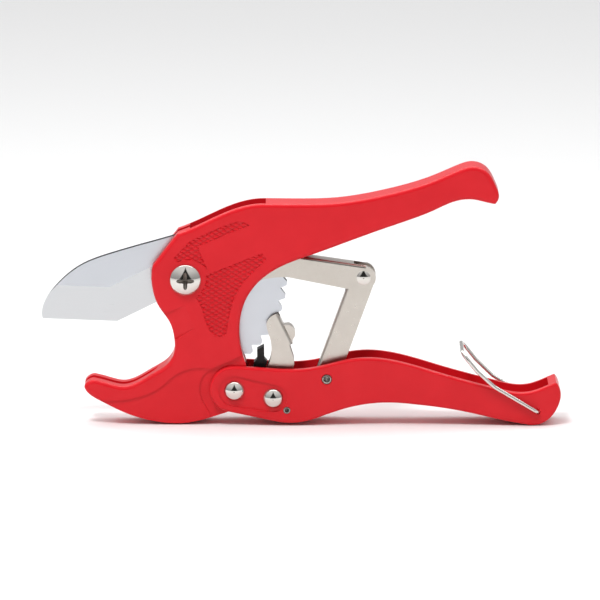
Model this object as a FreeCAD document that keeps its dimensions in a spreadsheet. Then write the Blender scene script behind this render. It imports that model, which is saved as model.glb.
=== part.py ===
import FreeCAD, Part
import math
import os
import Sketcher

# Ratcheting pipe cutter.  Lengths are in millimetres.  X runs along the handles, Z is up,
# and the tool is symmetric about Y = 0.  Every outline is drawn in X and Z from the blade
# pivot; the sub-parts' placements then move them so that the frame's origin is the middle
# of the underside.

Vector = FreeCAD.Vector
doc = FreeCAD.newDocument("pipe_cutter")
sheet = doc.addObject("Spreadsheet::Sheet", "sizes")

SIZES = [
    # where the pivots are, from the blade pivot
    ("handle_pivot_x", 20.2), ("handle_pivot_z", -46.8),
    ("pawl_pivot_x", 36.4), ("pawl_pivot_z", -50.0),
    ("link_pivot_x", 58.7), ("link_pivot_z", -41.8),
    ("elbow_x", 74.0), ("elbow_z", 0.3),
    ("stop_pin_x", 42.1), ("stop_pin_z", -55.0),
    # how far the tool reaches
    ("blade_reach", 60.1), ("grip_start", 76.0), ("grip_length", 80.2), ("belly_depth", 61.5),
    # castings
    ("body_width", 15.5), ("body_fillet", 1.5), ("slot_clearance", 0.4),
    ("link_side_clearance", 1.0), ("neck_step", 1.05), ("neck_wall", 1.9),
    ("panel_depth", 0.5), ("rim_step", 0.6),
    ("handle_wall", 2.5), ("handle_fillet", 1.0), ("handle_gap", 0.3), ("seat_depth", 0.5),
    ("boss_radius", 7.2), ("handle_front", 10.2), ("facet_lean", 5.5),
    # blade
    ("blade_thickness", 3.4), ("edge_thickness", 0.3), ("grind_width", 14.6),
    ("tooth_tip_radius", 42.3), ("tooth_depth", 2.6), ("tooth_pitch", 7.7), ("first_tooth", 11.0),
    ("tooth_count", 9.0), ("tooth_land", 2.0), ("tail_clearance", 1.3),
    # links and pawls
    ("sheet_thickness", 1.2), ("side_gap", 0.2), ("shim_thickness", 1.6), ("lower_link_half", 5.0),
    ("pawl_side_clearance", 1.1), ("holding_pawl_thickness", 5.0), ("pawl_clearance", 0.35),
    ("bend_radius", 1.1), ("link_end_radius", 5.1), ("link_hub_radius", 6.5), ("pawl_end_radius", 5.0),
    # pins, screws and springs
    ("fit", 0.05), ("bush_radius", 4.0), ("screw_radius", 2.5), ("screw_head_radius", 6.45),
    ("screw_head_height", 3.5), ("screw_head_rim", 0.7), ("cross_width", 1.9),
    ("cross_length", 7.4), ("cross_depth", 2.0),
    ("washer_radius", 6.2), ("washer_thickness", 1.0), ("nut_flats", 10.0), ("nut_height", 4.0),
    ("screw_end", 0.8), ("handle_rivet_radius", 2.4), ("rivet_head_radius", 4.3),
    ("rivet_head_height", 2.6), ("pawl_rivet_radius", 2.2), ("elbow_rivet_radius", 2.0),
    ("elbow_head_radius", 2.9), ("elbow_head_height", 0.8), ("elbow_play", 0.95),
    ("hollow_pin_radius", 2.15), ("hollow_pin_bore", 1.1), ("stop_pin_radius", 1.5),
    ("stop_pin_bore", 0.8), ("spring_wire", 0.8), ("light_spring_wire", 0.6),
    ("bail_wire", 1.6), ("bail_x", 70.6), ("bail_z", -55.5), ("bail_side_gap", 0.7),
    ("bail_spread", 2.2), ("bail_hole_play", 0.45), ("bail_bend", 6.0), ("spacer_wall", 1.2),
]
for row, (name, value) in enumerate(SIZES, start=1):
    sheet.set("A%d" % row, name)
    sheet.set("B%d" % row, str(value))
    sheet.setAlias("B%d" % row, name)
doc.recompute()


def size(name):
    return float(sheet.get(name))


# The outlines' numbers are those of a tool with this reach and these grips; point() moves
# what lies past the neck or past the grips' start with the sheet's own values.
DRAWN_REACH = 60.1
DRAWN_GRIP_START = 76.0
DRAWN_GRIP = 80.2
NECK_FRONT = -14.2
REACH_STRETCH = (size("blade_reach") + NECK_FRONT) / (DRAWN_REACH + NECK_FRONT)
GRIP_STRETCH = size("grip_length") / DRAWN_GRIP
BODY_HALF = size("body_width") / 2
OUT_OF_THE_WAY = 20.0
THROUGH = "60"


class Width:
    """A distance across the tool that adds up from sizes: the sheet's rule and the number."""

    def __init__(self, *terms, within=None):
        self.terms = (within.terms if within else ()) + terms
        self.rule = "(%s)" % " + ".join("%s * sizes.%s" % term for term in self.terms)
        self.number = sum(factor * size(name) for factor, name in self.terms)


NECK = Width((1, "body_width"), (-2, "neck_step"))
PAWL_CAVITY = Width((-2, "neck_wall"), within=NECK)
HANDLE_INNER = Width((2, "handle_gap"), within=NECK)
HANDLE_OUTER = Width((2, "handle_wall"), within=HANDLE_INNER)
SLOT = Width((1, "blade_thickness"), (2, "slot_clearance"))
UPPER_LINK_INNER = Width((1, "blade_thickness"), (2, "shim_thickness"), (4, "fit"))
UPPER_LINK = Width((2, "sheet_thickness"), within=UPPER_LINK_INNER)
LINK_CAVITY = Width((2, "link_side_clearance"), within=UPPER_LINK)
LOWER_LINK = Width((-2, "side_gap"), within=UPPER_LINK_INNER)
LOWER_LINK_INNER = Width((-2, "sheet_thickness"), within=LOWER_LINK)
DRIVE_PAWL_INNER = Width((1, "blade_thickness"), (2, "pawl_side_clearance"))
DRIVE_PAWL = Width((2, "sheet_thickness"), within=DRIVE_PAWL_INNER)
ORIGIN_X = "(sizes.blade_reach - sizes.grip_start - sizes.grip_length) / 2"
ORIGIN_Z = "sizes.belly_depth"


# ---------------------------------------------------------------- small helpers

def point(place):
    """A point of an outline, moved with the blade's reach and the length of the grips."""
    x, z = place
    if x < NECK_FRONT:
        x = NECK_FRONT + (x - NECK_FRONT) * REACH_STRETCH
    if x > DRAWN_GRIP_START:
        x = size("grip_start") + (x - DRAWN_GRIP_START) * GRIP_STRETCH
    return Vector(x, z, 0)


def pivot(name):
    """Where a named pivot is; the blade pivot is the zero point."""
    if name == "blade_pivot":
        return (0.0, 0.0)
    if name == "bail":
        return (size("grip_start") + size("bail_x") * GRIP_STRETCH, size("bail_z"))
    return (size(name + "_x"), size(name + "_z"))


def pivot_rule(name):
    """The same place as two expressions of the sheet."""
    if name == "blade_pivot":
        return ("0", "0")
    if name == "bail":
        return ("(sizes.grip_start + sizes.bail_x * sizes.grip_length / %s)" % DRAWN_GRIP,
                "sizes.bail_z")
    return ("sizes.%s_x" % name, "sizes.%s_z" % name)


def around(centre, radius, degrees):
    angle = math.radians(degrees)
    return (centre[0] + radius * math.cos(angle), centre[1] + radius * math.sin(angle))


def place(thing, at="blade_pivot"):
    across, up = pivot_rule(at)
    thing.setExpression("Placement.Base.x", "%s + %s" % (ORIGIN_X, across))
    thing.setExpression("Placement.Base.z", "%s + %s" % (ORIGIN_Z, up))


def new_body(label, at="blade_pivot"):
    body = doc.addObject("PartDesign::Body", label)
    body.Label = label
    place(body, at)
    return body


def sketch_on(body, name, plane="XZ_Plane", offset=None):
    sketch = body.newObject("Sketcher::SketchObject", body.Label + "_" + name)
    support = next(f for f in body.Origin.OriginFeatures if f.Role == plane)
    sketch.AttachmentSupport = (support, [""])
    sketch.MapMode = "FlatFace"
    if offset:
        sketch.setExpression("AttachmentOffset.Base.z", offset)
    return sketch


def draw(sketch, start, *pieces):
    """A closed outline: every piece runs on from the end of the last one."""
    first = point(start)
    here = first
    for kind, *places in pieces:
        points = [point(p) for p in places]
        if kind == "curve":
            spline = Part.BSplineCurve()
            spline.interpolate([here] + points)
            sketch.addGeometry(spline, False)
        elif kind == "arc":
            sketch.addGeometry(Part.Arc(here, points[0], points[1]), False)
        else:
            for end in points:
                sketch.addGeometry(Part.LineSegment(here, end), False)
                here = end
        here = points[-1]
    if here.distanceToPoint(first) > 1e-6:
        sketch.addGeometry(Part.LineSegment(here, first), False)


def circle(sketch, at, radius):
    """A circle on a named pivot, its radius bound to the sheet."""
    x, z = pivot(at)
    index = sketch.addGeometry(Part.Circle(Vector(x, z, 0), Vector(0, 0, 1), 1.0), False)
    rule = sketch.addConstraint(Sketcher.Constraint("Radius", index, 1.0))
    sketch.setExpression("Constraints[%d]" % rule, radius)
    if at == "blade_pivot":
        sketch.addConstraint(Sketcher.Constraint("Coincident", index, 3, -1, 1))
        return
    for kind, value, rule_of in zip(("DistanceX", "DistanceY"), (x, z), pivot_rule(at)):
        rule = sketch.addConstraint(Sketcher.Constraint(kind, -1, 1, index, 3, value))
        sketch.setExpression("Constraints[%d]" % rule, rule_of)


def pad(body, sketch, length):
    feature = body.newObject("PartDesign::Pad", sketch.Name + "_pad")
    feature.Profile = sketch
    feature.SideType = "Symmetric"
    feature.setExpression("Length", length)
    return feature


def pocket(body, sketch, length):
    """Cuts the same depth to either side of the middle plane."""
    feature = body.newObject("PartDesign::Pocket", sketch.Name + "_cut")
    feature.Profile = sketch
    feature.SideType = "Symmetric"
    feature.setExpression("Length", length)
    return feature


def side_pockets(body, name, floor, *outline):
    """Shallow recesses from the plane at floor outwards, on both sides."""
    for side, sign in (("near", ""), ("far", "-")):
        sketch = sketch_on(body, name + "_" + side, offset="%s(%s)" % (sign, floor))
        draw(sketch, *outline)
        feature = body.newObject("PartDesign::Pocket", sketch.Name + "_cut")
        feature.Profile = sketch
        feature.Reversed = side == "near"
        feature.Length = OUT_OF_THE_WAY


def leaning_pockets(body, name, lean, top, foot, *outline):
    """Wedge-shaped recesses on both sides: nothing along the line from top to foot, and
    deeper towards the jaw."""
    hinge = point(top)
    for side, sign in (("near", 1), ("far", -1)):
        sketch = sketch_on(body, name + "_" + side)
        tilt = FreeCAD.Rotation(point(foot) - hinge, sign * lean)
        on_face = hinge + Vector(0, 0, sign * BODY_HALF)
        sketch.AttachmentOffset = FreeCAD.Placement(on_face - tilt.multVec(hinge), tilt)
        draw(sketch, top, ("line", foot, *outline))
        feature = body.newObject("PartDesign::Pocket", sketch.Name + "_cut")
        feature.Profile = sketch
        feature.Reversed = side == "near"
        feature.Length = OUT_OF_THE_WAY


def hole(body, at, radius):
    sketch = sketch_on(body, "hole_" + at)
    circle(sketch, at, radius)
    pocket(body, sketch, THROUGH)


def round_edges(body, base, radius, half, skip=None):
    """Fillets the outline's edges on both flat sides."""
    doc.recompute()
    names = []
    for number, edge in enumerate(base.Shape.Edges, start=1):
        box = edge.BoundBox
        middle = edge.valueAt((edge.FirstParameter + edge.LastParameter) / 2)
        flat = abs(abs(middle.y) - half) < 1e-3 and box.YLength < 1e-3
        if flat and not (skip and skip(middle)):
            names.append("Edge%d" % number)
    feature = body.newObject("PartDesign::Fillet", body.Label + "_fillet")
    feature.Base = (base, names)
    feature.setExpression("Radius", radius)
    return feature


def trace(sketch, outline, side=1):
    """A closed outline in the sketch's own directions: two numbers are a corner, four an arc."""
    corners = [Vector(side * piece[-2], piece[-1], 0) for piece in outline]
    for piece, here, there in zip(outline[1:] + outline[:1], corners, corners[1:] + corners[:1]):
        if len(piece) == 4:
            bulge = Vector(side * piece[0], piece[1], 0)
            sketch.addGeometry(Part.Arc(here, bulge, there), False)
        else:
            sketch.addGeometry(Part.LineSegment(here, there), False)


def trim_along(body, name, start, end, outline, before=0.0, after=0.0):
    """Cuts both sides along the line from start to end.  The outline gives the distance from
    the middle plane and the distance to the left of the line."""
    run = point(end) - point(start)
    slope = math.degrees(math.atan2(run.y, run.x))
    middle = (point(start) + point(end)) / 2
    for side in (1, -1):
        sketch = sketch_on(body, "%s_%d" % (name, side + 1), "YZ_Plane")
        sketch.AttachmentOffset = FreeCAD.Placement(
            Vector(0, middle.y, middle.x), FreeCAD.Rotation(Vector(1, 0, 0), -slope))
        trace(sketch, outline, side)
        feature = body.newObject("PartDesign::Pocket", sketch.Name + "_cut")
        feature.Profile = sketch
        feature.SideType = "Two sides"
        feature.Length = run.Length / 2 + before
        feature.Length2 = run.Length / 2 + after


def round_bends(body, width, start, end):
    """Rounds both folds of a channel whose web runs from start to end, its inside to the left."""
    radius = size("bend_radius")
    half = width / 2
    bulge = radius * (1 - math.sqrt(0.5))
    trim_along(body, "bends", start, end,
               [(half - radius, 0.0), (half - bulge, bulge, half, radius), (half + 1, radius),
                (half + 1, -1.0), (half - radius, -1.0)])


def turned(label, at, *outline):
    """A piece turned about a pivot's axis: X is the radius and Y runs across the tool."""
    body = new_body(label, at)
    sketch = sketch_on(body, "profile", "XY_Plane")
    trace(sketch, outline)
    feature = body.newObject("PartDesign::Revolution", label + "_turned")
    feature.Profile = sketch
    feature.ReferenceAxis = (sketch, ["V_Axis"])
    feature.Angle = 360.0
    return body


def dome(radius, height, seat):
    """Half way round a spherical cap that stands on a seat: (radius, distance across)."""
    sphere = (radius ** 2 + height ** 2) / (2 * height)
    half_angle = math.asin(radius / sphere) / 2
    return (sphere * math.sin(half_angle), seat + height - sphere * (1 - math.cos(half_angle)))


def rivet(label, at, shank, head, height, seat):
    """A solid rivet with a domed head either side, its heads seated at plus and minus seat."""
    bulge, rise = dome(head, height, seat)
    return turned(label, at, (0, -seat - height), (bulge, -rise, head, -seat),
                  (shank, -seat), (shank, seat), (head, seat), (bulge, rise, 0, seat + height))


def tube(name, at, outer, inner, low, high):
    """One ring, from low to high across the tool; all four are expressions of the sheet."""
    rings = []
    for part, radius in (("outer", outer), ("inner", inner)):
        ring = doc.addObject("Part::Cylinder", name + "_" + part)
        ring.Placement.Rotation = FreeCAD.Rotation(Vector(1, 0, 0), -90)
        place(ring, at)
        ring.setExpression("Placement.Base.y", low)
        ring.setExpression("Radius", radius)
        ring.setExpression("Height", "(%s) - (%s)" % (high, low))
        rings.append(ring)
    result = doc.addObject("Part::Cut", name)
    result.Base, result.Tool = rings
    return result


def tube_pair(label, at, outer, inner, low, high):
    """The same ring on both sides of the middle plane, as one group."""
    group = doc.addObject("Part::Compound", label)
    group.Label = label
    group.Links = [tube(label + "_far", at, outer, inner, low, high),
                   tube(label + "_near", at, outer, inner, "-(%s)" % high, "-(%s)" % low)]
    return group


COIL_PITCH = 0.92  # in wire thicknesses: the coils touch


def torsion_spring(label, at, radius, wire, turns, middle, legs):
    """A close coil about a pivot's axis; each leg is (direction, tangent side, length)."""
    pitch = COIL_PITCH * wire
    first = -pitch * (turns - 1) / 2
    rings = [Part.makeTorus(radius, wire / 2, Vector(0, first + pitch * turn, 0), Vector(0, 1, 0))
             for turn in range(turns)]
    for (direction, side, length), across in zip(legs, (first, -first)):
        x, z = around((0, 0), radius, direction + 90 * side)
        run, rise = around((0, 0), 1.0, direction)
        rings.append(Part.makeCylinder(wire / 2, length, Vector(x, across, z),
                                       Vector(run, 0, rise)))
    spring = doc.addObject("Part::Feature", label)
    spring.Label = label
    spring.Shape = rings[0].fuse(rings[1:])
    place(spring, at)
    spring.Placement.Base.y = middle
    return spring


def rounded_wire(points, radius):
    """Straight runs joined by tangent arcs."""
    edges = []
    here = points[0]
    for before, corner, after in zip(points, points[1:], points[2:]):
        arrive = (corner - before).normalize()
        leave = (after - corner).normalize()
        turn = arrive.getAngle(leave)
        run = min((corner - before).Length, (after - corner).Length)
        bend = min(radius, 0.45 * run / math.tan(turn / 2))
        cut = bend * math.tan(turn / 2)
        begin = corner - arrive * cut
        end = corner + leave * cut
        inward = (leave - arrive).normalize()
        middle = corner + inward * (bend / math.cos(turn / 2) - bend)
        edges.append(Part.LineSegment(here, begin).toShape())
        edges.append(Part.Arc(begin, middle, end).toShape())
        here = end
    edges.append(Part.LineSegment(here, points[-1]).toShape())
    return Part.Wire(edges)


# ---------------------------------------------------------------- body casting

HANDLE_PIVOT = pivot("handle_pivot")
BOSS_RADIUS = size("boss_radius")
PAWL_ROOM_RADIUS = BOSS_RADIUS - 1.4
UPPER_TOP = [(47.75, 31.9), (62.75, 32.4), (82.75, 35.8), (102.75, 41.7), (112.75, 46.0),
             (119.4, 47.7), (124.8, 45.6), (128.6, 39.6), (130.0, 34.9), (128.4, 31.8)]


def make_body_casting():
    """Head, fixed upper handle, neck and anvil jaw in one casting."""
    body = new_body("body_casting")
    outline = sketch_on(body, "outline")
    boss_top = around(HANDLE_PIVOT, BOSS_RADIUS, 15)
    boss_side = around(HANDLE_PIVOT, BOSS_RADIUS, -40)
    boss_bottom = around(HANDLE_PIVOT, BOSS_RADIUS, -95)
    draw(outline, (-3.1, 19.6),
         ("curve", (0.7, 21.0), (11.75, 26.1), (24.5, 31.0), (33.4, 32.0)),
         ("curve", *UPPER_TOP),
         ("curve", (124.5, 32.6), (119.4, 33.7), (112.75, 33.2), (102.75, 29.0), (89.4, 23.9),
          (69.4, 16.7), (52.7, 10.5), (38.5, 4.8), (30.0, -1.5), (24.4, -10.2), (22.5, -19.0),
          (22.9, -28.0), (24.8, -35.0)),
         ("line", boss_top),
         ("arc", boss_side, boss_bottom),
         ("line", (18.4, -56.0)),
         ("curve", (12.75, -57.9), (6.1, -59.9), (-3.0, -61.2), (-10.6, -60.7), (-23.9, -57.3),
          (-35.7, -51.6), (-41.0, -48.0), (-42.3, -45.4), (-40.6, -43.2), (-37.3, -42.7)),
         ("curve", (-30.6, -44.5), (-26.0, -45.3), (-20.6, -43.8), (-13.9, -39.9),
          (-7.25, -35.4), (-4.9, -31.0), (-4.7, -25.4), (-6.8, -17.8), (-10.9, -11.8),
          (-13.6, -4.5), (-14.15, 1.5), (-13.6, 5.9)),
         ("line", (-3.1, 19.6)))
    blank = pad(body, outline, "sizes.body_width")

    def near_boss(middle):
        return math.hypot(middle.x - HANDLE_PIVOT[0], middle.z - HANDLE_PIVOT[1]) < 12
    round_edges(body, blank, "sizes.body_fillet", BODY_HALF, near_boss)

    # the links' cavity, open below, with a round end at the blade pivot
    links = sketch_on(body, "links")
    draw(links, (-8.8, 0.0), ("arc", (-6.2, 6.2), (0.0, 8.8)), ("line", (24.0, 22.0)),
         ("curve", (36.0, 28.4), (62.75, 29.0), (82.75, 32.2), (102.75, 37.9), (112.75, 42.2),
          (119.4, 43.8), (123.0, 41.8), (125.6, 37.0), (126.4, 30.0)),
         ("line", (126.4, 10.0), (60.0, -9.0), (0.0, -8.8)),
         ("arc", (-6.2, -6.2), (-8.8, 0.0)))
    pocket(body, links, LINK_CAVITY.rule)

    # the window over the tail, in the top of the head
    window = sketch_on(body, "window")
    draw(window, (2.0, 6.0), ("line", (1.6, 50.0), (33.4, 50.0), (33.4, 20.0), (20.0, 6.0)))
    pocket(body, window, LINK_CAVITY.rule)

    # the blade's slot: through the front and top of the head and into the anvil
    slot = sketch_on(body, "blade_slot")
    draw(slot, (-80.0, 50.0),
         ("line", (33.4, 50.0), (33.4, 0.0), (3.5, -13.5), (0.9, -16.0), (-0.6, -17.6),
          (-6.8, -34.6), (-31.5, -55.2), (-40.0, -70.0), (-80.0, -70.0)))
    pocket(body, slot, SLOT.rule)

    # room for the toothed tail, from closed to open
    reach = size("tooth_tip_radius") + size("tail_clearance")
    tail = sketch_on(body, "tail_slot")
    draw(tail, (-0.3, -4.0), ("line", around((0, 0), reach, -85.5)),
         ("arc", around((0, 0), reach, -68), around((0, 0), reach, -50)),
         ("line", (40.0, -32.0), (40.0, -4.0)))
    pocket(body, tail, SLOT.rule)

    # the holding pawl's pocket round the handle pivot
    pawl_room = sketch_on(body, "pawl_room")
    draw(pawl_room, around(HANDLE_PIVOT, PAWL_ROOM_RADIUS, 130),
         ("line", (25.0, -36.6), (40.0, -36.6), (40.0, -52.6), around(HANDLE_PIVOT, PAWL_ROOM_RADIUS, -70)),
         ("arc", around(HANDLE_PIVOT, PAWL_ROOM_RADIUS, 180), around(HANDLE_PIVOT, PAWL_ROOM_RADIUS, 130)))
    pocket(body, pawl_room, PAWL_CAVITY.rule)

    side_pockets(body, "neck", NECK.rule + " / 2", (24.8, -31.2),
                 ("line", (16.5, -35.1), (11.1, -37.4), (7.5, -40.2)),
                 ("arc", (5.7, -46.8), (7.5, -52.4)),
                 ("line", (10.2, -57.2), (9.6, -66.0), (40.0, -66.0), (40.0, -31.2)))
    side_pockets(body, "belly", "sizes.body_width / 2 - sizes.rim_step", (-44.0, -52.0),
                 ("curve", (-35.9, -51.2), (-26.7, -51.0), (-17.5, -49.0), (-10.2, -45.3),
                  (-5.3, -40.9), (-0.4, -38.2), (5.7, -37.2), (11.1, -37.9)),
                 ("line", (12.0, -66.0), (-44.0, -66.0)))
    leaning_pockets(body, "facet", size("facet_lean"), (-0.1, -10.8), (4.0, -20.2),
                    (-14.0, -31.3), (-24.0, -25.0), (-24.0, -19.8))
    panel_floor = "sizes.body_width / 2 - sizes.panel_depth"
    side_pockets(body, "upper_panel", panel_floor, (-4.8, 9.2), ("line", (2.2, 16.6)),
                 ("curve", (9.0, 19.8), (16.5, 23.0), (22.6, 24.6), (26.6, 23.1)),
                 ("line", (19.2, 20.1), (14.9, 18.3), (6.0, 14.4), (5.6, 12.7), (9.8, 3.1)),
                 ("curve", (7.6, 5.8), (3.0, 8.2), (-2.9, 7.4)))
    side_pockets(body, "lower_panel", panel_floor, (10.25, 2.7), ("line", (31.9, 11.35)),
                 ("line", (33.6, 8.8)),
                 ("curve", (30.25, 5.3), (23.4, -2.1), (20.0, -8.6), (18.3, -14.8),
                  (17.2, -21.0), (16.1, -23.6), (13.8, -24.2), (11.1, -22.7), (7.5, -14.8),
                  (4.3, -7.9)),
                 ("curve", (6.4, -5.0), (8.4, -1.0), (8.4, 2.4)))
    hole(body, "blade_pivot", "sizes.screw_radius + sizes.fit")
    hole(body, "handle_pivot", "sizes.handle_rivet_radius + sizes.fit")
    return body


# ---------------------------------------------------------------- lower handle

HANDLE_FRONT = size("handle_front")
SEAT_FRONT = 6.5
SEAT_BACK = 5.8
UNDERSIDE_INSET = 1.0
UNDERSIDE_END = -101.8


def make_lower_handle():
    """The squeezing handle, a channel open upwards with a round front end."""
    body = new_body("lower_handle")
    outline = sketch_on(body, "outline")
    top = around(HANDLE_PIVOT, HANDLE_FRONT, 90)
    draw(outline, top,
         ("curve", (33.2, -37.3), (43.6, -37.8), (54.7, -36.7), (66.75, -33.8), (76.0, -32.8),
          (84.0, -33.5), (107.3, -39.8), (129.6, -45.9), (137.0, -47.5), (143.0, -47.4),
          (150.4, -44.8), (154.2, -43.2)),
         ("curve", (156.2, -47.6), (154.6, -54.6), (150.4, -59.6), (143.6, -61.4)),
         ("curve", (132.75, -59.5), (116.1, -55.7), (96.1, -52.7), (86.1, -51.9),
          (72.75, -52.9), (59.4, -56.7), (50.0, -59.8), (42.6, -60.5), (37.0, -59.8)),
         ("line", around(HANDLE_PIVOT, HANDLE_FRONT - UNDERSIDE_INSET, UNDERSIDE_END)),
         ("arc", around(HANDLE_PIVOT, HANDLE_FRONT, 176), top))
    blank = pad(body, outline, HANDLE_OUTER.rule)
    round_edges(body, blank, "sizes.handle_fillet", HANDLE_OUTER.number / 2)

    channel = sketch_on(body, "channel")
    draw(channel, (5.0, -25.0), ("line", (150.6, -25.0), (150.6, -44.0)),
         ("curve", (152.6, -48.0), (151.4, -53.6), (148.2, -57.4), (143.6, -58.8)),
         ("curve", (132.75, -56.9), (116.1, -53.1), (96.1, -50.1), (86.1, -49.3),
          (72.75, -50.3), (59.4, -53.5), (46.1, -56.8), (36.1, -56.8), (28.0, -55.1),
          (23.4, -54.0)),
         ("line", (22.2, -62.0), (5.0, -62.0)))
    pocket(body, channel, HANDLE_INNER.rule)

    seat_floor = HANDLE_OUTER.rule + " / 2 - sizes.seat_depth"
    pawl_pivot = pivot("pawl_pivot")
    tilt = math.degrees(math.atan2(pawl_pivot[1] - HANDLE_PIVOT[1],
                                   pawl_pivot[0] - HANDLE_PIVOT[0]))
    side_pockets(body, "seat", seat_floor, around(HANDLE_PIVOT, SEAT_FRONT, tilt + 90),
                 ("arc", around(HANDLE_PIVOT, SEAT_FRONT, tilt + 180),
                  around(HANDLE_PIVOT, SEAT_FRONT, tilt - 90)),
                 ("line", around(pawl_pivot, SEAT_BACK, tilt - 90)),
                 ("arc", around(pawl_pivot, SEAT_BACK, tilt), around(pawl_pivot, SEAT_BACK, tilt + 90)))
    hole(body, "handle_pivot", "sizes.handle_rivet_radius + sizes.fit")
    hole(body, "pawl_pivot", "sizes.pawl_rivet_radius + sizes.fit")
    hole(body, "link_pivot", "sizes.hollow_pin_radius + sizes.fit")
    hole(body, "stop_pin", "sizes.stop_pin_radius + sizes.fit")
    hole(body, "bail", "sizes.bail_wire / 2 + sizes.bail_hole_play")
    return body


# ---------------------------------------------------------------- blade

BLADE_TIP = (-DRAWN_REACH, -15.8)
EDGE_TIP = (-59.7, -17.7)
EDGE_HEEL = (-28.6, -18.9)
HEEL_TOP = (-12.4, -10.9)


def grind(body, name, start, end, before, after):
    """Grinds both sides of the edge from start to end down to a thin land."""
    half = size("blade_thickness") / 2
    land = size("edge_thickness") / 2
    width = size("grind_width")
    trim_along(body, name, start, end,
               [(land, 0), (half, width), (half + 1, width), (half + 1, -4), (land, -4)],
               before, after)


FIRST_HOOK = 1.6
HOOK_GROWTH = 0.3
LAND_RELIEF = 0.1


def make_blade():
    """The ground blade and its toothed tail, one flat plate."""
    body = new_body("blade")
    outline = sketch_on(body, "outline")
    tip_radius = size("tooth_tip_radius")
    root_radius = tip_radius - size("tooth_depth")
    land = size("tooth_land")
    teeth = []
    for number in reversed(range(int(size("tooth_count")))):
        angle = size("first_tooth") - size("tooth_pitch") * number
        hook = FIRST_HOOK + HOOK_GROWTH * number
        teeth.append(around((0, 0), root_radius, angle - hook))
        teeth.append(around((0, 0), tip_radius, angle))
        teeth.append(around((0, 0), tip_radius - LAND_RELIEF, angle + land))
    top_corner = around((0, 0), tip_radius - 1.0, size("first_tooth") + 6.5)
    draw(outline, BLADE_TIP, ("line", EDGE_TIP, EDGE_HEEL, HEEL_TOP),
         ("curve", (-6.0, -11.4), (0.0, -11.4), (6.2, -9.0)),
         ("line", *teeth, top_corner),
         ("curve", (32.0, 13.0), (20.0, 14.6), (6.0, 17.2), (-3.1, 18.1)),
         ("curve", (-16.9, 14.1), (-31.8, 9.7), (-43.5, 5.0), (-54.1, -3.8), (-58.6, -10.0),
          BLADE_TIP))
    pad(body, outline, "sizes.blade_thickness")
    grind(body, "edge", EDGE_TIP, EDGE_HEEL, 10.0, 8.0)
    grind(body, "heel", EDGE_HEEL, HEEL_TOP, 14.0, 6.0)
    hole(body, "blade_pivot", "sizes.bush_radius + sizes.fit")
    return body


# ---------------------------------------------------------------- links

def make_upper_link():
    """Folded sheet link from the blade pivot to the elbow, its web along the top."""
    body = new_body("upper_link")
    outline = sketch_on(body, "outline")
    elbow = pivot("elbow")
    tip = size("link_end_radius")
    hub = size("link_hub_radius")
    fall = -11.0
    web_start = (46.0, 9.55)
    web_tip = around(elbow, tip, 90 + fall)
    draw(outline, around((0, 0), hub, 85), ("curve", (22.0, 9.6), (36.0, 10.8), web_start),
         ("line", web_tip),
         ("arc", around(elbow, tip, fall), around(elbow, tip, -90 + fall)),
         ("line", (67.0, -4.3), (43.1, 0.5)),
         ("curve", (36.0, 0.3), (22.0, -3.4), around((0, 0), hub, -80)),
         ("arc", around((0, 0), hub, 180), around((0, 0), hub, 85)))
    pad(body, outline, UPPER_LINK.rule)
    thick = size("sheet_thickness")
    round_bends(body, UPPER_LINK.number, web_tip, web_start)
    drop = thick / math.cos(math.radians(fall))
    web_end = elbow[0] - 4.0
    web_end_z = web_start[1] + (web_end - web_start[0]) * math.tan(math.radians(fall))
    channel = sketch_on(body, "channel")
    draw(channel, (-12.0, -20.0),
         ("line", (-12.0, 30.0), (web_start[0], 30.0), (web_start[0], web_start[1] - drop),
          (web_end, web_end_z - drop), (web_end, 30.0), (95.0, 30.0), (95.0, -20.0)))
    pocket(body, channel, UPPER_LINK_INNER.rule)
    hole(body, "blade_pivot", "sizes.bush_radius + sizes.fit")
    hole(body, "elbow", "sizes.elbow_rivet_radius + sizes.fit")
    return body


def make_lower_link():
    """Folded sheet link from the lower handle to the elbow, its web on the jaw side."""
    body = new_body("lower_link")
    low = pivot("link_pivot")
    high = pivot("elbow")
    half = size("lower_link_half")
    lean = math.degrees(math.atan2(high[1] - low[1], high[0] - low[0]))
    outline = sketch_on(body, "outline")
    web_foot = around(low, half, lean + 90)
    web_tip = around(high, half, lean + 90)
    draw(outline, web_foot, ("line", web_tip),
         ("arc", around(high, half, lean), around(high, half, lean - 90)),
         ("line", around(low, half, lean - 90)),
         ("arc", around(low, half, lean + 180), web_foot))
    pad(body, outline, LOWER_LINK.rule)
    round_bends(body, LOWER_LINK.number, web_tip, web_foot)
    length = math.hypot(high[0] - low[0], high[1] - low[1])
    along = (math.cos(math.radians(lean)), math.sin(math.radians(lean)))
    thick = size("sheet_thickness")

    def spot(distance, side):
        """A point that far up the link and that far to its jaw side."""
        return (low[0] + along[0] * distance - along[1] * side,
                low[1] + along[1] * distance + along[0] * side)
    inner_side = half - thick
    channel = sketch_on(body, "channel")
    draw(channel, spot(-12, -12), ("line", spot(-12, 12), spot(5.5, 12), spot(5.5, inner_side),
                                   spot(length - 8.5, inner_side), spot(length - 8.5, 12),
                                   spot(length + 12, 12), spot(length + 12, -12)))
    pocket(body, channel, LOWER_LINK_INNER.rule)
    hole(body, "link_pivot", "sizes.hollow_pin_radius + sizes.fit")
    hole(body, "elbow", "sizes.elbow_rivet_radius + sizes.elbow_play")
    return body


# ---------------------------------------------------------------- pawls

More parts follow.
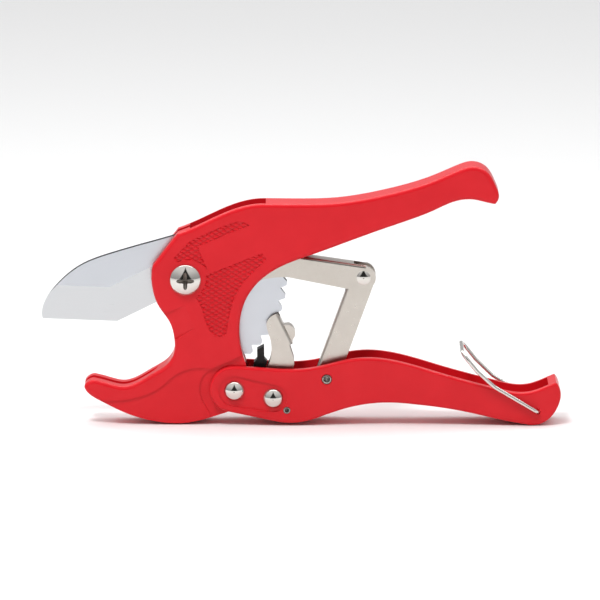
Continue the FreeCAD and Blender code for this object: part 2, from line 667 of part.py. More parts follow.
def make_drive_pawl():
    """Folded sheet pawl that straddles the tail; the top of its web drives the teeth."""
    body = new_body("drive_pawl")
    centre = pivot("pawl_pivot")
    end_radius = size("pawl_end_radius")
    web_top = (38.3, -15.0)
    web_foot = (44.6, -27.8)
    web = Vector(*web_foot, 0) - Vector(*web_top, 0)
    along = Vector(web).normalize()
    out = Vector(-along.y, along.x, 0)

    def on_web(distance, height):
        """A point that far down the web and that far out from its outer face."""
        spot = Vector(*web_top, 0) + along * distance + out * height
        return (spot.x, spot.y)

    def clear_of_teeth(height):
        """How far down the web that layer of it stays outside the teeth."""
        start = Vector(*on_web(0.0, height), 0)
        clear = size("tooth_tip_radius") + size("pawl_clearance")
        lead = start.dot(along)
        return -lead + math.sqrt(lead ** 2 + clear ** 2 - start.Length ** 2)

    outline = sketch_on(body, "outline")
    draw(outline, web_top, ("line", web_foot, (43.1, -28.3)),
         ("curve", (44.3, -32.0), (45.1, -35.4), (44.6, -39.5), (43.2, -44.0),
          around(centre, end_radius, 0)),
         ("arc", around(centre, end_radius, -90), around(centre, end_radius, 180)),
         ("curve", (32.2, -43.0), (34.0, -37.8), (35.2, -34.6), (35.7, -30.4), (35.4, -26.7),
          (34.3, -22.9), (33.6, -19.2)),
         ("curve", (34.9, -16.8), web_top))
    pad(body, outline, DRIVE_PAWL.rule)
    thick = size("sheet_thickness")
    round_bends(body, DRIVE_PAWL.number, web_foot, web_top)
    chisel = on_web(clear_of_teeth(0.0), 0.0)
    chisel_back = on_web(clear_of_teeth(-thick), -thick)
    channel = sketch_on(body, "channel")
    draw(channel, (25.0, -60.0),
         ("line", (25.0, -5.0), (50.0, -5.0), chisel, chisel_back, on_web(web.Length, -thick),
          on_web(web.Length, 6.0), (52.0, -60.0)))
    pocket(body, channel, DRIVE_PAWL_INNER.rule)
    tab = sketch_on(body, "tab")
    draw(tab, on_web(5.6, -0.6), ("line", on_web(6.4, 1.8)),
         ("curve", on_web(7.2, 2.5), on_web(10.2, 3.0), on_web(12.8, 0.7)),
         ("line", on_web(13.2, -0.6)))
    pad(body, tab, DRIVE_PAWL_INNER.rule)
    hole(body, "pawl_pivot", "sizes.pawl_rivet_radius + sizes.fit")
    return body


def make_holding_pawl():
    """Pointed bar that keeps the blade from swinging back between strokes."""
    body = new_body("holding_pawl")
    outline = sketch_on(body, "outline")
    clear = size("tooth_tip_radius") + size("pawl_clearance")
    point_angle = -44.5
    corner = around((0, 0), clear, -45.9)
    draw(outline, corner, ("line", around((0, 0), clear + 1.0, point_angle + 2.8),
                           (32.7, -34.4), (33.9, -35.8), (33.2, -38.4)),
         ("curve", (30.8, -41.6), (27.4, -46.4), around(HANDLE_PIVOT, 4.6, -50)),
         ("arc", around(HANDLE_PIVOT, 4.6, 180), around(HANDLE_PIVOT, 4.6, 80)),
         ("curve", (24.6, -41.0), (27.4, -39.2), (28.4, -37.0)),
         ("line", (28.4, -36.0), (29.7, -34.7)))
    pad(body, outline, "sizes.holding_pawl_thickness")
    hole(body, "handle_pivot", "sizes.handle_rivet_radius + sizes.fit")
    return body


# ---------------------------------------------------------------- pins, screws, washers

def make_fasteners():
    wall = size("body_width") / 2
    radius = size("screw_radius")
    head = size("screw_head_radius")
    height = size("screw_head_height")
    washer = size("washer_thickness")
    tail = wall + washer + size("nut_height") + size("screw_end")
    rim = size("screw_head_rim")
    bulge, rise = dome(head, height - rim, wall + rim)
    screw = turned("blade_pivot_screw", "blade_pivot", (0, -wall - height),
                   (bulge, -rise, head, -wall - rim),
                   (head, -wall), (radius, -wall), (radius, tail - 0.5), (radius - 0.5, tail),
                   (0, tail))
    cross = sketch_on(screw, "cross", offset="sizes.body_width / 2 + sizes.screw_head_height")
    wide = size("cross_width") / 2
    far = size("cross_length") / 2
    draw(cross, (wide, far), ("line", (-wide, far), (-wide, wide), (-far, wide), (-far, -wide),
                              (-wide, -wide), (-wide, -far), (wide, -far), (wide, -wide),
                              (far, -wide), (far, wide), (wide, wide)))
    recess = screw.newObject("PartDesign::Pocket", "cross_cut")
    recess.Profile = cross
    recess.setExpression("Length", "sizes.cross_depth")

    nut = new_body("blade_pivot_nut")
    flats = sketch_on(nut, "flats", offset="-(sizes.body_width / 2 + sizes.washer_thickness)")
    corner = size("nut_flats") / math.sqrt(3)
    draw(flats, around((0, 0), corner, 0),
         ("line", *[around((0, 0), corner, 60 * turn) for turn in range(1, 6)]))
    block = nut.newObject("PartDesign::Pad", "nut_pad")
    block.Profile = flats
    block.Reversed = True
    block.setExpression("Length", "sizes.nut_height")
    hole(nut, "blade_pivot", "sizes.screw_radius + sizes.fit")

    tube("nut_washer", "blade_pivot", "sizes.washer_radius", "sizes.screw_radius + sizes.fit",
         "sizes.body_width / 2", "sizes.body_width / 2 + sizes.washer_thickness")
    tube("blade_pivot_bush", "blade_pivot", "sizes.bush_radius",
         "sizes.screw_radius + sizes.fit", "-%s / 2" % LINK_CAVITY.rule, LINK_CAVITY.rule + " / 2")
    tube_pair("blade_shim_washers", "blade_pivot", "sizes.washer_radius",
              "sizes.bush_radius + sizes.fit", "sizes.blade_thickness / 2 + sizes.fit",
              UPPER_LINK_INNER.rule + " / 2 - sizes.fit")

    rivet_seat = HANDLE_OUTER.number / 2 - size("seat_depth")
    rivet("handle_pivot_rivet", "handle_pivot", size("handle_rivet_radius"),
          size("rivet_head_radius"), size("rivet_head_height"), rivet_seat + size("fit"))
    rivet("pawl_rivet", "pawl_pivot", size("pawl_rivet_radius"),
          size("rivet_head_radius"), size("rivet_head_height"), rivet_seat)
    rivet("elbow_rivet", "elbow", size("elbow_rivet_radius"), size("elbow_head_radius"),
          size("elbow_head_height"), UPPER_LINK.number / 2)

    outer = HANDLE_OUTER.rule + " / 2"
    tube("lower_link_pin", "link_pivot", "sizes.hollow_pin_radius", "sizes.hollow_pin_bore",
         "-" + outer, outer)
    tube("spring_stop_pin", "stop_pin", "sizes.stop_pin_radius", "sizes.stop_pin_bore",
         "-" + outer, outer)
    inner = HANDLE_INNER.rule + " / 2"
    tube_pair("lower_link_spacers", "link_pivot", "sizes.hollow_pin_radius + sizes.spacer_wall",
              "sizes.hollow_pin_radius + sizes.fit",
              LOWER_LINK.rule + " / 2 + sizes.fit", inner)
    tube_pair("pawl_spacers", "pawl_pivot", "sizes.pawl_rivet_radius + sizes.spacer_wall",
              "sizes.pawl_rivet_radius + sizes.fit",
              DRIVE_PAWL.rule + " / 2 + sizes.fit", inner)
    tube_pair("holding_pawl_spacers", "handle_pivot", "sizes.handle_rivet_radius + 0.9",
              "sizes.handle_rivet_radius + sizes.fit",
              "sizes.holding_pawl_thickness / 2 + sizes.fit", PAWL_CAVITY.rule + " / 2")


def make_springs():
    wire = size("spring_wire")
    light = size("light_spring_wire")
    torsion_spring("handle_return_spring", "elbow", size("elbow_rivet_radius") + 1.4, wire, 3,
                   0.0, [(169, 1, 7.0), (250, 1, 7.0)])
    torsion_spring("pawl_spring", "pawl_pivot", size("pawl_rivet_radius") + 0.7, wire, 5,
                   0.0, [(-41, 1, 8.0), (60, -1, 6.0)])
    side = (size("holding_pawl_thickness") + PAWL_CAVITY.number) / 4
    torsion_spring("holding_pawl_spring", "handle_pivot", size("handle_rivet_radius") + 1.5,
                   light, 2, side, [(20, 1, 3.0), (60, -1, 3.0)])


# ---------------------------------------------------------------- wire bail

def make_lock_bail():
    """The wire loop that swings over the upper handle's end to lock the tool shut."""
    wire = size("bail_wire")
    outside = HANDLE_OUTER.number / 2
    leg = outside + size("bail_side_gap") + wire / 2
    loop = leg + size("bail_spread")
    end = outside - size("handle_wall") + 0.4
    x, z = pivot("bail")
    route = [(0.0, end, 0.0), (0.0, leg, 0.0), (-18.3, leg + 0.3, 10.9),
             (-25.4, loop - 0.6, 17.7), (-31.6, loop, 25.5)]
    points = [Vector(dx, -y, dz) for dx, y, dz in route]
    points += [Vector(dx, y, dz) for dx, y, dz in reversed(route)]
    path = rounded_wire(points, size("bail_bend"))
    start = Part.Wire(Part.Circle(points[0], Vector(0, 1, 0), wire / 2).toShape())
    bail = doc.addObject("Part::Feature", "lock_bail")
    bail.Label = "lock_bail"
    bail.Shape = path.makePipeShell([start], True, False)
    place(bail, "bail")


# ---------------------------------------------------------------- build and write

make_body_casting()
make_lower_handle()
make_blade()
make_upper_link()
make_lower_link()
make_drive_pawl()
make_holding_pawl()
make_fasteners()
make_springs()
make_lock_bail()
doc.recompute()

NODES = [
    "body_casting", "lower_handle", "blade", "blade_pivot_screw", "blade_pivot_nut",
    "nut_washer", "blade_pivot_bush", "blade_shim_washers", "upper_link", "lower_link",
    "elbow_rivet", "handle_return_spring", "lower_link_pin", "lower_link_spacers",
    "drive_pawl", "pawl_rivet", "pawl_spacers", "pawl_spring", "spring_stop_pin",
    "holding_pawl", "holding_pawl_spring", "holding_pawl_spacers", "handle_pivot_rivet",
    "lock_bail",
]
for thing in doc.Objects:
    if "Invalid" in thing.State or "Error" in thing.State:
        raise RuntimeError("%s did not compute: %s" % (thing.Name, thing.State))
os.makedirs("parts", exist_ok=True)
for node in NODES:
    shape = doc.getObject(node).Shape
    if shape.isNull() or not shape.isValid() or not shape.Solids:
        raise RuntimeError("%s has no valid solid" % node)
    shape.exportStep("parts/%s.step" % node)
    box = shape.BoundBox
    print("%-22s %8.1f mm3  x %7.2f %7.2f  y %6.2f %6.2f  z %6.2f %6.2f" % (
        node, shape.Volume, box.XMin, box.XMax, box.YMin, box.YMax, box.ZMin, box.ZMax))
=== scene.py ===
import math
import bmesh
import bpy
from mathutils import Matrix, Vector


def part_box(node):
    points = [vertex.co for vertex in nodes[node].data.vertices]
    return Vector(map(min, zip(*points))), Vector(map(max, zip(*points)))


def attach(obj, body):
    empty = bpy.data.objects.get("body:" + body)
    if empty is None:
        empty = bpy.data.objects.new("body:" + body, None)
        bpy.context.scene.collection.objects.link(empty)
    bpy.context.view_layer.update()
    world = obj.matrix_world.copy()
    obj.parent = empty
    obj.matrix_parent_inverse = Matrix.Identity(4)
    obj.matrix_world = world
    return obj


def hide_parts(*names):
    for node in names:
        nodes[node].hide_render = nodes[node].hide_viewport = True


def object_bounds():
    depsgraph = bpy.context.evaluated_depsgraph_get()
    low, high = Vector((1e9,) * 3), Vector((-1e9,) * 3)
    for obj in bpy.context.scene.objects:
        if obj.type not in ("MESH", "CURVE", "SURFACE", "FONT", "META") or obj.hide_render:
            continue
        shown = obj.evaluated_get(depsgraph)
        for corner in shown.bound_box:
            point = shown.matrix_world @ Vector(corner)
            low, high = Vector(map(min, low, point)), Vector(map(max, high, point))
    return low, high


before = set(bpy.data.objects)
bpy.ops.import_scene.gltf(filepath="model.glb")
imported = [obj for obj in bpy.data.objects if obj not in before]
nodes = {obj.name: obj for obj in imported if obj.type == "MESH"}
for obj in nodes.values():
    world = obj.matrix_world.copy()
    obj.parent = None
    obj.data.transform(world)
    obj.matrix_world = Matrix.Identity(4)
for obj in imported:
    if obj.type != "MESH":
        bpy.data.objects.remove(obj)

cad_low, cad_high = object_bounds()
scene = bpy.context.scene


# ---- Castings --------------------------------------------------------------------------------
# The body with its fixed handle and anvil jaw, and the squeezing handle, are die-cast
# aluminium under a sprayed and baked red enamel with a faint orange peel.

class Wire:
    """One output socket of a material, with the operators that the patterns use."""

    def __init__(self, tree, socket):
        self.tree = tree
        self.socket = socket

    def node(self, kind, settings=(), **inputs):
        """Adds a node: its settings first, then its sockets' values or links."""
        made = self.tree.nodes.new(kind)
        for name, value in dict(settings).items():
            setattr(made, name, value)
        for name, value in inputs.items():
            key = int(name[1:]) if name in ("i0", "i1") else name.replace("_", " ")
            self.plug(made.inputs[key], value)
        return made

    def plug(self, socket, value):
        """Links a wire into a node's socket, or sets the socket to a plain value."""
        if isinstance(value, Wire):
            self.tree.links.new(value.socket, socket)
        else:
            socket.default_value = value

    def math(self, operation, other=0.0):
        made = self.node("ShaderNodeMath", {"operation": operation}, i0=self, i1=other)
        return Wire(self.tree, made.outputs[0])

    def __add__(self, other):
        return self.math("ADD", other)

    __radd__ = __add__

    def __sub__(self, other):
        return self.math("SUBTRACT", other)

    def __rsub__(self, other):
        return (self * -1.0) + other

    def __mul__(self, other):
        return self.math("MULTIPLY", other)

    __rmul__ = __mul__

    def magnitude(self):
        return self.math("ABSOLUTE")

    def above(self, edge, soft):
        """0 below the edge, 1 above it, with a soft step between."""
        made = self.node("ShaderNodeMapRange", {"interpolation_type": "SMOOTHSTEP"}, Value=self,
                         From_Min=edge - soft / 2, From_Max=edge + soft / 2)
        return Wire(self.tree, made.outputs["Result"])

    def parts(self):
        """The three numbers of a vector."""
        made = self.node("ShaderNodeSeparateXYZ", {}, Vector=self)
        return [Wire(self.tree, made.outputs[axis]) for axis in "XYZ"]

    def blend(self, low, high):
        """Mixes two colours by this number."""
        made = self.node("ShaderNodeMix", {"data_type": "RGBA"}, Factor=self)
        for end, colour in (("A", low), ("B", high)):
            socket = next(s for s in made.inputs if s.name == end and s.type == "RGBA")
            self.plug(socket, colour if isinstance(colour, Wire) else (*colour, 1.0))
        return Wire(self.tree, next(s for s in made.outputs if s.type == "RGBA"))


class Finish:
    """A named material with its shader and the patterns that feed it."""

    def __init__(self, name, **fixed):
        self.material = bpy.data.materials.new(name)
        self.material.use_nodes = True
        self.tree = self.material.node_tree
        self.shader = self.tree.nodes["Principled BSDF"]
        for key, value in fixed.items():
            self.shader.inputs[key.replace("_", " ")].default_value = value
        coords = self.tree.nodes.new("ShaderNodeTexCoord")
        self.place = Wire(self.tree, coords.outputs["Object"])
        shape = self.tree.nodes.new("ShaderNodeNewGeometry")
        self.facing = Wire(self.tree, shape.outputs["Normal"])

    def noise(self, size, stretch=(1.0, 1.0, 1.0), detail=3.0):
        """Noise whose features are about size metres, drawn out along an axis by stretch."""
        scale = tuple(1.0 / (size * s) for s in stretch)
        mapped = self.place.node("ShaderNodeMapping", {}, Vector=self.place, Scale=scale)
        made = self.place.node("ShaderNodeTexNoise", {}, Scale=1.0, Detail=detail,
                               Vector=Wire(self.tree, mapped.outputs[0]))
        return Wire(self.tree, made.outputs["Fac"])

    def feed(self, name, value):
        self.tree.links.new(value.socket, self.shader.inputs[name])

    def bump(self, height, depth):
        """Raises the surface by up to depth metres where height is 1."""
        made = self.place.node("ShaderNodeBump", {}, Strength=1.0, Distance=depth, Height=height)
        self.tree.links.new(made.outputs[0], self.shader.inputs["Normal"])


ORANGE_PEEL = 0.000012

enamel = Finish("red_enamel", Metallic=0.0, Specular_IOR_Level=0.22)
drift = enamel.noise(0.012).above(0.5, 0.7)
enamel.feed("Base Color", drift.blend((0.64, 0.010, 0.017), (0.69, 0.013, 0.021)))
enamel.feed("Roughness", 0.26 + 0.08 * enamel.noise(0.0016))
dimples = enamel.noise(0.0009, detail=2.0) + 0.5 * enamel.noise(0.0003, detail=1.0)
enamel.bump(dimples, ORANGE_PEEL)


def dress(material, *names):
    """Gives nodes of the CAD model a material."""
    for name in names:
        slots = nodes[name].data.materials
        slots.clear()
        slots.append(material)


dress(enamel.material, "body_casting", "lower_handle")


# ---- Knurled panels --------------------------------------------------------------------------
# The sunk panels on both sides of the head carry rows of small raised lozenges, cast with
# the body and painted with it, so the thumb doesn't slip.  Their tops stay under the face.

LOZENGE_PITCH = 0.00172
LOZENGE_LEAN = math.radians(31.0)
LOZENGE_RISE = 0.00040
LOZENGE_SLOPE = 0.00040
PANEL_DEPTH = 0.0005
ROOT = 0.0001
SKIRT = 0.0004
GRID_CELLS = 38
FLATNESS = 0.00001
WELD = 0.000001
SHARP_FROM = math.radians(32.0)

face_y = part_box("body_casting")[0].y
floor_y = face_y + PANEL_DEPTH


def placed(name, data):
    """A new object in the scene, at the origin."""
    thing = bpy.data.objects.new(name, data)
    scene.collection.objects.link(thing)
    return thing


def finished(name, mesh, body, slot, *stands_for):
    """Puts a finished mesh in the scene as a piece that rides on a body."""
    mesh.shade_smooth()
    mesh.set_sharp_from_angle(angle=SHARP_FROM)
    piece = placed(name, mesh)
    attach(piece, body)
    if stands_for:
        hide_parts(*stands_for)


def as_mesh(name, shape, *materials):
    """Turns a bmesh into a mesh with outward faces, and frees it."""
    bmesh.ops.recalc_face_normals(shape, faces=shape.faces)
    mesh = bpy.data.meshes.new(name)
    shape.to_mesh(mesh)
    shape.free()
    for material in materials:
        mesh.materials.append(material)
    return mesh


def combined(name, base, tool, operation, *materials):
    """One mesh from two bmeshes, by a boolean operation."""
    things = [placed(name, as_mesh(name, shape, *materials)) for shape in (base, tool)]
    change = things[0].modifiers.new("change", "BOOLEAN")
    change.object = things[1]
    change.operation = operation
    change.solver = "EXACT"
    graph = bpy.context.evaluated_depsgraph_get()
    mesh = bpy.data.meshes.new_from_object(things[0].evaluated_get(graph))
    for thing in things:
        spare = thing.data
        bpy.data.objects.remove(thing)
        bpy.data.meshes.remove(spare)
    return mesh


def new_parts(made, kind):
    """The vertices, edges or faces among what an operator made."""
    return [part for part in made["geom"] if isinstance(part, kind)]


def new_verts(made):
    return new_parts(made, bmesh.types.BMVert)


def on_panel_floor(face):
    return all(abs(vert.co.y - floor_y) < FLATNESS for vert in face.verts)


# the space of the sunk panels on the near side, from just under their floors to the face
room = bmesh.new()
room.from_mesh(nodes["body_casting"].data)
bmesh.ops.remove_doubles(room, verts=room.verts, dist=WELD)
bmesh.ops.delete(room, geom=[f for f in room.faces if not on_panel_floor(f)], context="FACES")
floors = room.faces[:]
floor_verts = room.verts[:]
lifted = new_verts(bmesh.ops.extrude_face_region(room, geom=floors, use_keep_orig=True))
bmesh.ops.translate(room, verts=lifted, vec=(0.0, -PANEL_DEPTH, 0.0))
bmesh.ops.translate(room, verts=floor_verts, vec=(0.0, ROOT, 0.0))
low, high = (Vector([pick(vert.co[axis] for vert in room.verts) for axis in range(3)])
             for pick in (min, max))
middle = (low + high) / 2

# a slab of lozenges over the whole head: a grid leant into rhombs, each inset and raised
side = LOZENGE_PITCH / math.sin(2 * LOZENGE_LEAN)
run = side * math.cos(LOZENGE_LEAN)
climb = side * math.sin(LOZENGE_LEAN)
lozenges = bmesh.new()
leaning = Matrix(((run, run, 0.0, middle.x), (0.0, 0.0, -1.0, floor_y),
                  (-climb, climb, 0.0, middle.z), (0.0, 0.0, 0.0, 1.0)))
bmesh.ops.create_grid(lozenges, x_segments=GRID_CELLS, y_segments=GRID_CELLS,
                      size=GRID_CELLS / 2, matrix=leaning)
lozenges.normal_update()
bmesh.ops.inset_individual(lozenges, faces=lozenges.faces[:], thickness=LOZENGE_SLOPE,
                           depth=LOZENGE_RISE)
rim = [edge for edge in lozenges.edges if edge.is_boundary]
skirt = bmesh.ops.extrude_edge_only(lozenges, edges=rim)
bmesh.ops.translate(lozenges, verts=new_verts(skirt), vec=(0.0, SKIRT, 0.0))
bmesh.ops.edgeloop_fill(lozenges, edges=new_parts(skirt, bmesh.types.BMEdge))

near_side = combined("grip_lozenges", room, lozenges, "INTERSECT", enamel.material)
both = bmesh.new()
both.from_mesh(near_side)
far_side = bmesh.ops.duplicate(both, geom=both.verts[:] + both.edges[:] + both.faces[:])
bmesh.ops.scale(both, vec=(1.0, -1.0, 1.0), verts=new_verts(far_side))
finished("grip_lozenges", as_mesh("grip_lozenges", both, enamel.material), "frame", "red_paint")


# ---- Blade -----------------------------------------------------------------------------------
# Hardened tool-steel plate with the ratchet teeth on its tail, ground on both sides down to
# the edge.  The grinding leaves fine lines, and the spine keeps its dark rolling scale.

BEVEL_TURN = -0.055
SCALE_FROM = 0.006
GRIND_RELIEF = 0.000004

screw_low, screw_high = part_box("blade_pivot_screw")
blade_pivot = (screw_low + screw_high) / 2

steel = Finish("ground_steel", Metallic=1.0)
across, up = steel.facing.parts()[1:]
height = steel.place.parts()[2]
flank = across.magnitude().above(0.75, 0.3)
bevel = flank * (1.0 - up.above(BEVEL_TURN, 0.03))
lines = steel.noise(0.00016, stretch=(1.0, 1.0, 60.0), detail=2.0)
rolled = steel.noise(0.00014, stretch=(50.0, 1.0, 1.0), detail=2.0)
scale = (1.0 - flank) * height.above(blade_pivot.z - SCALE_FROM, 0.004)
plate = (0.35 + 0.5 * steel.noise(0.02)).blend((0.62, 0.64, 0.68), (0.68, 0.70, 0.74))
ground = lines.blend((0.54, 0.55, 0.565), (0.60, 0.61, 0.62))
steel.feed("Base Color", scale.blend(bevel.blend(plate, ground), (0.02, 0.02, 0.022)))
steel.feed("Roughness", 0.30 + 0.10 * rolled - 0.10 * bevel + 0.25 * scale)
steel.bump(bevel * lines + (1.0 - bevel) * rolled * 0.5, GRIND_RELIEF)
dress(steel.material, "blade")


# ---- Blade screw, nut and washers ------------------------------------------------------------
# A domed machine screw with a cross recess, its hexagon nut and the plain washer under it,
# the bush that the blade turns on and two shims: steel turned and bright nickel plated.

SHANK = 0.0025
SHANK_END_CHAMFER = 0.0004
HEAD_RIM = 0.0007
HEAD_BREAK = 0.00012
DOME_INSET = 0.0001
DOME_DROP = 0.00015
DOME_STEPS = 14
THREAD = 0.0008
THREAD_TURNS = 5
THREAD_ROOT = 0.87
RECESS_REACH = 0.0044
RECESS_HEART = 0.0014
RECESS_WAIST = 1.7
RECESS_START = 0.0002
RECESS_STEPS = ((0.0010, 0.86), (0.0010, 0.62), (0.0009, 0.30), (0.0003, 0.05))
NUT_FLATS = 0.010
NUT_CORNERS = NUT_FLATS / math.sqrt(3)
NUT_CHAMFER = 0.0006
BORE_PLAY = 0.00005
QUARTER = math.radians(90.0)

bright = Finish("bright_nickel", Metallic=1.0)
film = bright.noise(0.003)
bright.feed("Base Color", film.blend((0.62, 0.59, 0.55), (0.71, 0.68, 0.64)))
bright.feed("Roughness", 0.05 + 0.07 * bright.noise(0.0006))
bright.bump(bright.noise(0.0004), 0.000002)
dress(bright.material, "nut_washer", "blade_pivot_bush", "blade_shim_washers")

# Painted shade: the faces inside the cross recess take a darker nickel, mottled by noise, that
# stands in for the shade deep in the recess together with its oily grime.
shade = Finish("recess_painted_shade", Metallic=1.0)
shade.feed("Base Color", shade.noise(0.0005).blend((0.22, 0.20, 0.18), (0.60, 0.56, 0.52)))
shade.feed("Roughness", 0.25 + 0.2 * shade.noise(0.0004))


def spun(profile, axis_at, closed=False, steps=72):
    """Turns a profile of (radius, place across the tool) about an axis that runs across."""
    shape = bmesh.new()
    verts = [shape.verts.new((axis_at.x + radius, y, axis_at.z)) for radius, y in profile]
    ends = verts[1:] + verts[:1] if closed else verts[1:]
    edges = [shape.edges.new(pair) for pair in zip(verts, ends)]
    bmesh.ops.spin(shape, geom=verts + edges, cent=(axis_at.x, 0.0, axis_at.z),
                   axis=(0.0, 1.0, 0.0), angle=2 * math.pi, steps=steps, use_merge=True)
    bmesh.ops.remove_doubles(shape, verts=shape.verts, dist=WELD / 10)
    return shape


def dome(radius, rise, foot):
    """A spherical cap from its top to its foot, as a profile; it rises towards -Y."""
    sphere = (radius ** 2 + rise ** 2) / (2 * rise)
    spread = math.asin(radius / sphere)
    angles = [spread * step / DOME_STEPS for step in range(DOME_STEPS + 1)]
    return [(sphere * math.sin(a), foot - rise + sphere * (1 - math.cos(a))) for a in angles]


nut_low, nut_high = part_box("blade_pivot_nut")
head = (screw_high.x - screw_low.x) / 2
rim_y = face_y - HEAD_RIM
outline = dome(head - DOME_INSET, rim_y - screw_low.y, rim_y)
outline += [(head, rim_y + DOME_DROP), (head, face_y - HEAD_BREAK),
            (head - HEAD_BREAK, face_y), (SHANK, face_y)]
for turn in range(THREAD_TURNS):
    start = nut_low.y + turn * THREAD
    outline += [(SHANK, start), (SHANK, start + THREAD * 0.15),
                (SHANK * THREAD_ROOT, start + THREAD * 0.5),
                (SHANK * THREAD_ROOT, start + THREAD * 0.6)]
outline += [(SHANK, nut_low.y + THREAD_TURNS * THREAD),
            (SHANK, screw_high.y - SHANK_END_CHAMFER),
            (SHANK - SHANK_END_CHAMFER, screw_high.y), (0.0, screw_high.y)]
screw = spun(outline, blade_pivot)

# the cross recess: a four-lobed star that narrows as it goes in
recess = bmesh.new()
bmesh.ops.create_circle(recess, cap_ends=True, radius=1.0, segments=64)
for vert in recess.verts:
    angle = math.atan2(vert.co.y, vert.co.x)
    lobe = ((1.0 + math.cos(4.0 * angle)) / 2.0) ** RECESS_WAIST
    vert.co *= RECESS_HEART + (RECESS_REACH - RECESS_HEART) * lobe
bmesh.ops.rotate(recess, verts=recess.verts, matrix=Matrix.Rotation(QUARTER, 3, "X"))
above_head = Vector((blade_pivot.x, screw_low.y - RECESS_START, blade_pivot.z))
bmesh.ops.translate(recess, verts=recess.verts, vec=above_head)
to_axis = Matrix.Translation((-blade_pivot.x, 0.0, -blade_pivot.z))
cap = recess.faces[:]
inner_caps = []
for deeper, shrink in RECESS_STEPS:
    sunk = bmesh.ops.extrude_face_region(recess, geom=cap, use_keep_orig=True)
    cap = new_parts(sunk, bmesh.types.BMFace)
    inner_caps += cap
    bmesh.ops.translate(recess, verts=new_verts(sunk), vec=(0.0, deeper, 0.0))
    bmesh.ops.scale(recess, verts=new_verts(sunk), vec=(shrink, 1.0, shrink), space=to_axis)
bmesh.ops.delete(recess, geom=inner_caps[:-1], context="FACES_ONLY")
# the recess faces take the second material, the painted shade of the recess
for face in recess.faces:
    face.material_index = 1
cross_headed = combined("domed_screw", screw, recess, "DIFFERENCE",
                        bright.material, shade.material)
finished("domed_screw", cross_headed, "frame", "polished_nickel", "blade_pivot_screw")

# the nut: a hexagon cut to a turned blank that is chamfered outside and at both bore ends
nut_middle = Vector((blade_pivot.x, (nut_low.y + nut_high.y) / 2, blade_pivot.z))
hexagon = bmesh.new()
bmesh.ops.create_cone(hexagon, cap_ends=True, segments=6, radius1=NUT_CORNERS,
                      radius2=NUT_CORNERS, depth=nut_high.y - nut_low.y,
                      matrix=Matrix.Translation(nut_middle)
                      @ Matrix.Rotation(QUARTER, 4, "X") @ Matrix.Rotation(QUARTER, 4, "Z"))
bore = SHANK + BORE_PLAY
blank = spun([(SHANK + 0.0003, nut_low.y), (NUT_CORNERS, nut_low.y),
              (NUT_CORNERS, nut_high.y - NUT_CHAMFER), (NUT_FLATS / 2, nut_high.y),
              (SHANK + 0.0004, nut_high.y), (bore, nut_high.y - 0.00035),
              (bore, nut_low.y + 0.0003)], blade_pivot, closed=True)
nut = combined("hexagon_nut", hexagon, blank, "INTERSECT", bright.material)
finished("hexagon_nut", nut, "frame", "polished_nickel", "blade_pivot_nut")


# ---- Links and drive pawl --------------------------------------------------------------------
# The upper and lower link carry the squeeze to the blade's pivot, and the drive pawl pushes
# the teeth.  Each is blanked and folded from sheet steel, tumbled and satin nickel plated.

nickel = Finish("satin_nickel", Metallic=1.0)
cloud = nickel.noise(0.007)
brush = nickel.noise(0.00012, stretch=(24.0, 1.0, 24.0), detail=2.0)
speck = nickel.noise(0.0006)
patches = 0.7 * cloud + 0.3 * speck
nickel.feed("Base Color", patches.blend((0.55, 0.50, 0.445), (0.66, 0.62, 0.57)))
nickel.feed("Roughness", 0.22 + 0.10 * brush + 0.05 * speck)
nickel.bump(0.6 * speck + 0.4 * brush, 0.000005)
dress(nickel.material, "upper_link", "lower_link", "drive_pawl")


# ---- Holding pawl ----------------------------------------------------------------------------
# The bar on the handle's rivet that keeps the blade from springing back.  It is stamped
# steel with an oiled black oxide skin.

oxide = Finish("black_oxide", Metallic=0.6)
oxide.feed("Base Color", oxide.noise(0.002).blend((0.010, 0.009, 0.010), (0.024, 0.022, 0.022)))
oxide.feed("Roughness", 0.34 + 0.18 * oxide.noise(0.0006))
oxide.bump(oxide.noise(0.0005), 0.00001)
dress(oxide.material, "holding_pawl")


# ---- Rivets, pins and spacers ----------------------------------------------------------------
# Round-headed steel rivets hold the handle, the pawl and the elbow.  The lower link and the
# springs bear on hollow pins whose ends are rolled over, and loose spacers centre the parts.

LIP = 0.0005
CROWN_WIDTH = 0.0002
PIN_STEPS = 48

dress(bright.material, "elbow_rivet", "pawl_rivet", "handle_pivot_rivet", "pawl_spacers",
      "lower_link_spacers", "holding_pawl_spacers")

# The rolled pins take a nickel mottled at random between a dark and a pale tone, which makes
# them darker overall.
pin_nickel = Finish("pin_mottled_nickel", Metallic=1.0)
pin_nickel.feed("Base Color", pin_nickel.noise(0.0008).blend((0.24, 0.22, 0.20), (0.66, 0.62, 0.57)))
pin_nickel.feed("Roughness", 0.18 + 0.2 * pin_nickel.noise(0.0005))
pin_nickel.bump(pin_nickel.noise(0.0004), 0.00001)


def rolled_pin(name, node, bore_share):
    """A hollow pin with both ends rolled over, alike on both sides of the middle."""
    low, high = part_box(node)
    radius = (high.x - low.x) / 2
    bore = radius * bore_share
    crown = (radius + bore) / 2
    end = [(bore, low.y + 2 * LIP), (bore + 0.00005, low.y + LIP),
           (crown - CROWN_WIDTH, low.y + 0.0001), (crown, low.y),
           (crown + CROWN_WIDTH, low.y + 0.00006), (radius, low.y + LIP)]
    loop = end + [(r, -y) for r, y in reversed(end)]
    shape = spun(loop, (low + high) / 2, closed=True, steps=PIN_STEPS)
    finished(name, as_mesh(name, shape, pin_nickel.material), "lower_handle", "polished_nickel", node)


rolled_pin("rolled_link_pin", "lower_link_pin", 0.52)
rolled_pin("rolled_stop_pin", "spring_stop_pin", 0.50)


# ---- Springs and bail ------------------------------------------------------------------------
# Bright drawn spring steel: the coils close by their pivots, and the bail that locks the tool.

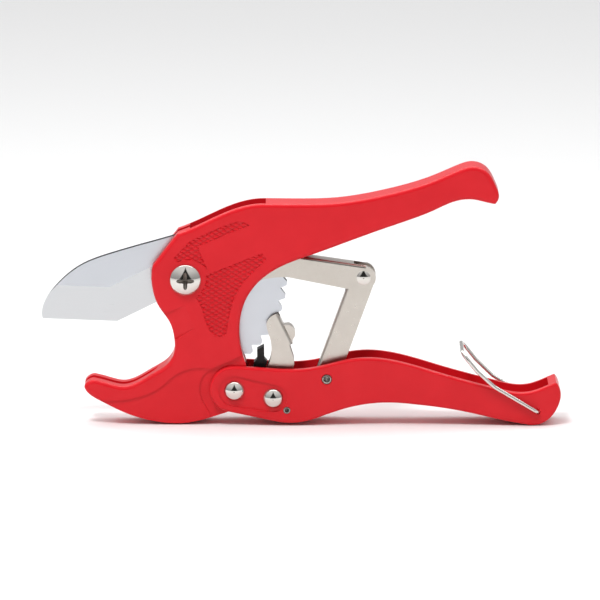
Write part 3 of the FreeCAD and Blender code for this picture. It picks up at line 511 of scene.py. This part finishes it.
drawn = Finish("drawn_wire", Metallic=1.0)
streak = drawn.noise(0.0002, stretch=(12.0, 1.0, 12.0))
drawn.feed("Base Color", streak.blend((0.60, 0.575, 0.54), (0.76, 0.74, 0.71)))
drawn.feed("Roughness", 0.16 + 0.12 * streak)
drawn.bump(streak, 0.000003)
dress(drawn.material, "handle_return_spring", "pawl_spring", "holding_pawl_spring", "lock_bail")


# ---- Studio ----------------------------------------------------------------------------------
# A plain pale floor under a pale sky with one dark wedge in front for the metal to mirror.
# A soft light hangs overhead, a smaller one shines from the upper left in front, and a wide
# one is seen only in reflections.  The camera is far away on a long lens, a little above.

CAMERA_LIFT = math.radians(11.5)
CAMERA_DISTANCE = 2.4
VIEW_WIDTH = 0.250
CAMERA_SENSOR = 36.0
CAMERA_REACH = 50.0
FLOOR_HALF = 6.0
FLOOR_GAP = 0.0002

scene.view_settings.view_transform = "Standard"
target = Vector(((cad_low.x + cad_high.x) / 2 - 0.0005, 0.0, 0.0515))
camera_data = bpy.data.cameras.new("camera")
camera_data.sensor_width = CAMERA_SENSOR
camera_data.lens = CAMERA_SENSOR * CAMERA_DISTANCE / VIEW_WIDTH
camera_data.clip_end = CAMERA_REACH
camera = placed("camera", camera_data)
away = Vector((0.0, -math.cos(CAMERA_LIFT), math.sin(CAMERA_LIFT)))
camera.location = target + away * CAMERA_DISTANCE
camera.rotation_mode = "QUATERNION"
camera.rotation_quaternion = (-away).to_track_quat("-Z", "Y")
scene.camera = camera

world = bpy.data.worlds.new("studio")
world.use_nodes = True
sky = world.node_tree.nodes["Background"]
looking = world.node_tree.nodes.new("ShaderNodeTexCoord")
where = Wire(world.node_tree, looking.outputs["Generated"])
sky_x, sky_y, sky_z = where.parts()
wedge = 0.60 * (0.93 - sky_z) - sky_x.magnitude()
gap = wedge.above(0.0, 0.06) * (-1.0 * sky_y).above(0.05, 0.05)
bright_sky = sky_z.above(0.45, 0.9).blend((0.44, 0.44, 0.45), (0.95, 0.95, 0.95))
where.plug(sky.inputs["Color"], gap.blend(bright_sky, (0.03, 0.03, 0.03)))
sky.inputs["Strength"].default_value = 0.95
scene.world = world


def soft_light(name, place, size, watts, glossy, diffuse=True):
    """A rectangular light that faces the tool and doesn't show itself."""
    data = bpy.data.lights.new(name, "AREA")
    data.shape = "RECTANGLE"
    data.size, data.size_y = size
    data.energy = watts
    lamp = placed(name, data)
    lamp.location = place
    lamp.rotation_mode = "QUATERNION"
    lamp.rotation_quaternion = (Vector(place) - target).to_track_quat("Z", "Y")
    lamp.visible_camera = False
    lamp.visible_glossy = glossy
    lamp.visible_diffuse = diffuse


soft_light("overhead", (0.0, 0.15, 1.0), (1.2, 0.6), 3.4, True)
soft_light("key", (-0.30, -0.62, 1.30), (0.30, 0.30), 11.0, False)
soft_light("sheen", (0.0, 0.35, 0.8), (1.4, 0.5), 9.0, True, False)

sheet = bmesh.new()
bmesh.ops.create_grid(sheet, x_segments=1, y_segments=1, size=FLOOR_HALF,
                      matrix=Matrix.Translation((0.0, 0.0, cad_low.z - FLOOR_GAP)))
floor_mesh = bpy.data.meshes.new("floor")
sheet.to_mesh(floor_mesh)
sheet.free()
floor = placed("floor", floor_mesh)
pale = Finish("pale_floor", Roughness=0.8)
pale.feed("Base Color", pale.noise(0.5).blend((0.86, 0.86, 0.86), (0.88, 0.88, 0.88)))
floor_mesh.materials.append(pale.material)
